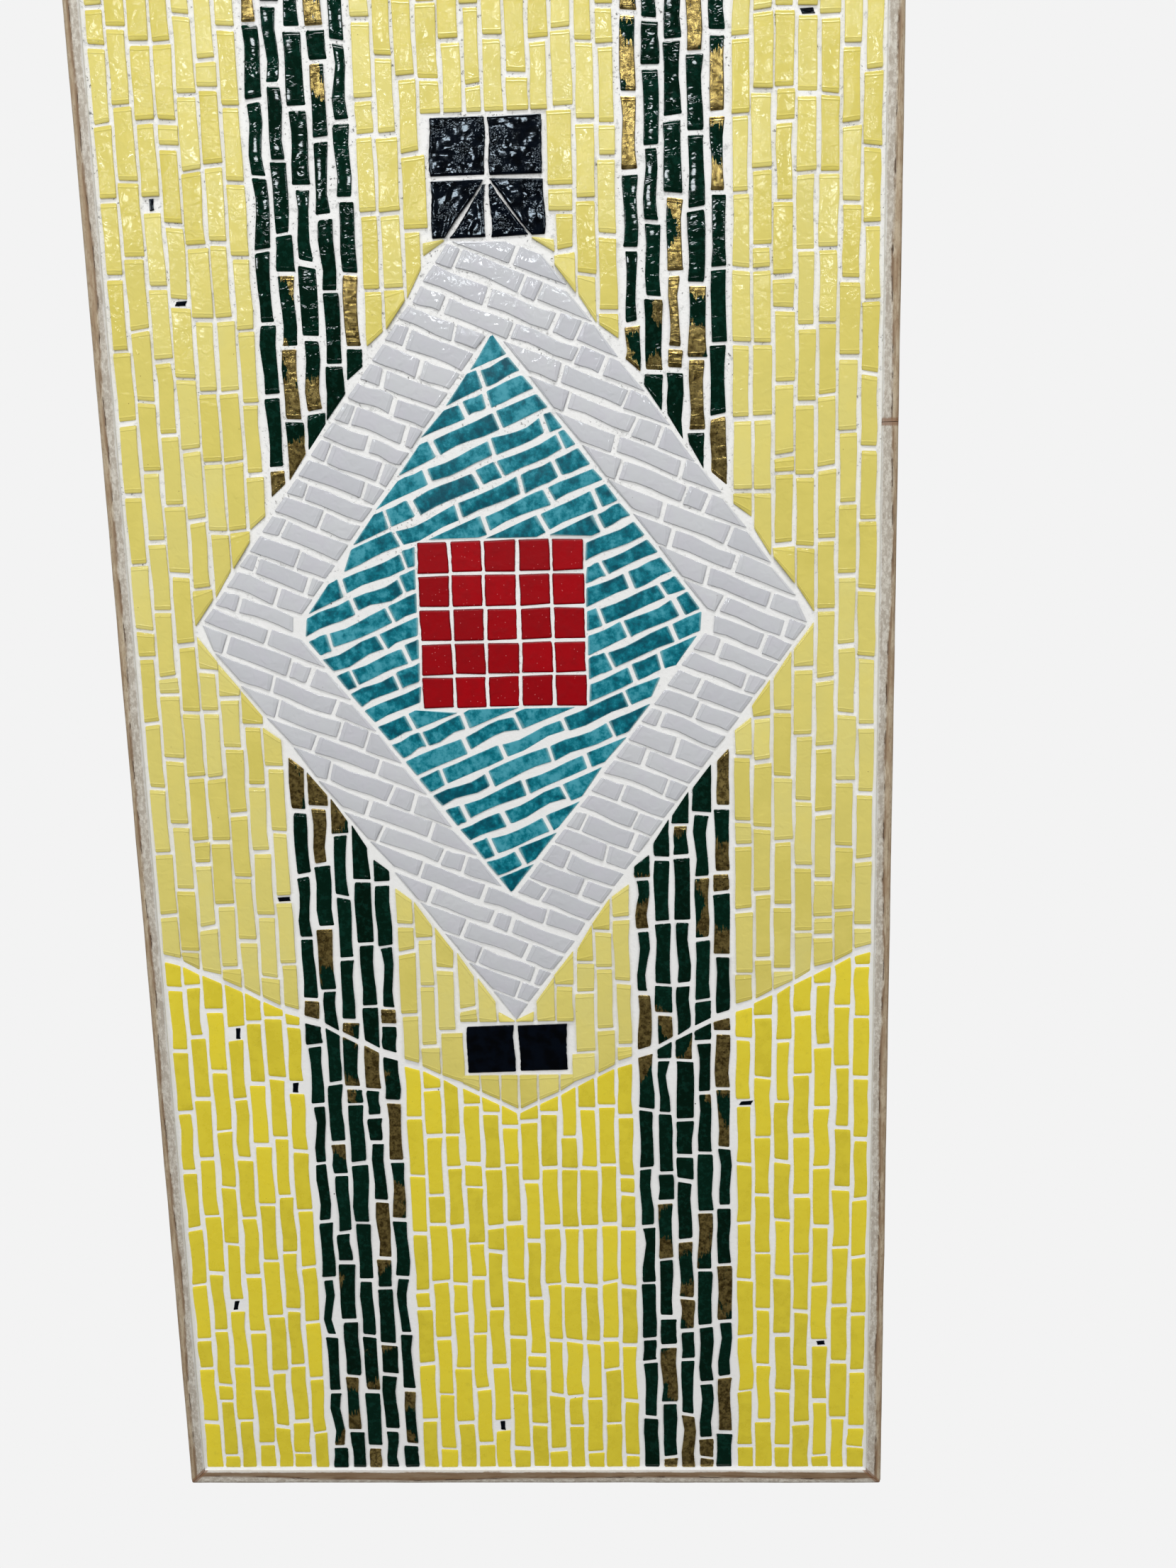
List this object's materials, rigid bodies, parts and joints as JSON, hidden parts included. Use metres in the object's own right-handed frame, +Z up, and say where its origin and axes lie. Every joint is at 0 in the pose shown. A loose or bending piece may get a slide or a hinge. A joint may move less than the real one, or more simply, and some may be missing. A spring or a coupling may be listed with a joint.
{
  "type": "mosaic panel",
  "caption": "Tall framed wall mosaic of glazed tesserae in white grout, a bordered lozenge over two dark stripes, edged with thin limed wood strips.",
  "frame": {"origin": "centre of the flat back of the panel, on the wall", "axes": "+Z up along the panel's length, +X to the right seen from the front, +Y into the wall; the picture faces -Y"},
  "size_m": [0.457, 0.02, 1.067],
  "materials": {
    "limed_wood": "limed, weathered",
    "plywood": "raw plywood",
    "white_grout": "rough cement grout",
    "pale_yellow_glaze": "gloss glazed ceramic",
    "deep_yellow_glaze": "satin glazed ceramic",
    "dark_green_glaze": "gloss glazed ceramic with gold patches",
    "teal_glaze": "mottled glazed ceramic",
    "white_glaze": "gloss glazed ceramic",
    "red_glaze": "satin glazed ceramic",
    "black_glaze": "gloss glazed ceramic"
  },
  "bodies": {
    "root": {"backing_board": "plywood", "black_piece_inside_tip_left": "black_glaze", "black_piece_inside_tip_right": "black_glaze", "black_piece_outside_tip_left": "black_glaze", "black_piece_outside_tip_right": "black_glaze", "black_square_cap_left": "black_glaze", "black_square_cap_right": "black_glaze", "black_square_foot_left": "black_glaze", "black_square_foot_right": "black_glaze", "deep_yellow_tesserae_left": "deep_yellow_glaze", "deep_yellow_tesserae_middle": "deep_yellow_glaze", "deep_yellow_tesserae_right": "deep_yellow_glaze", "frame_bottom": "limed_wood", "frame_left": "limed_wood", "frame_right_lower": "limed_wood", "frame_right_upper": "limed_wood", "frame_top": "limed_wood", "green_stripe_lower_left": "dark_green_glaze", "green_stripe_lower_right": "dark_green_glaze", "green_stripe_middle_left": "dark_green_glaze", "green_stripe_middle_right": "dark_green_glaze", "green_stripe_upper_left": "dark_green_glaze", "green_stripe_upper_right": "dark_green_glaze", "grout_bed": "white_grout", "pale_yellow_tesserae_left": "pale_yellow_glaze", "pale_yellow_tesserae_middle_lower": "pale_yellow_glaze", "pale_yellow_tesserae_middle_upper": "pale_yellow_glaze", "pale_yellow_tesserae_right": "pale_yellow_glaze", "red_square_1_1": "red_glaze", "red_square_1_2": "red_glaze", "red_square_1_3": "red_glaze", "red_square_1_4": "red_glaze", "red_square_1_5": "red_glaze", "red_square_2_1": "red_glaze", "red_square_2_2": "red_glaze", "red_square_2_3": "red_glaze", "red_square_2_4": "red_glaze", "red_square_2_5": "red_glaze", "red_square_3_1": "red_glaze", "red_square_3_2": "red_glaze", "red_square_3_3": "red_glaze", "red_square_3_4": "red_glaze", "red_square_3_5": "red_glaze", "red_square_4_1": "red_glaze", "red_square_4_2": "red_glaze", "red_square_4_3": "red_glaze", "red_square_4_4": "red_glaze", "red_square_4_5": "red_glaze", "red_square_5_1": "red_glaze", "red_square_5_2": "red_glaze", "red_square_5_3": "red_glaze", "red_square_5_4": "red_glaze", "red_square_5_5": "red_glaze", "teal_lozenge": "teal_glaze", "white_lozenge_border": "white_glaze"}
  },
  "joints": []
}
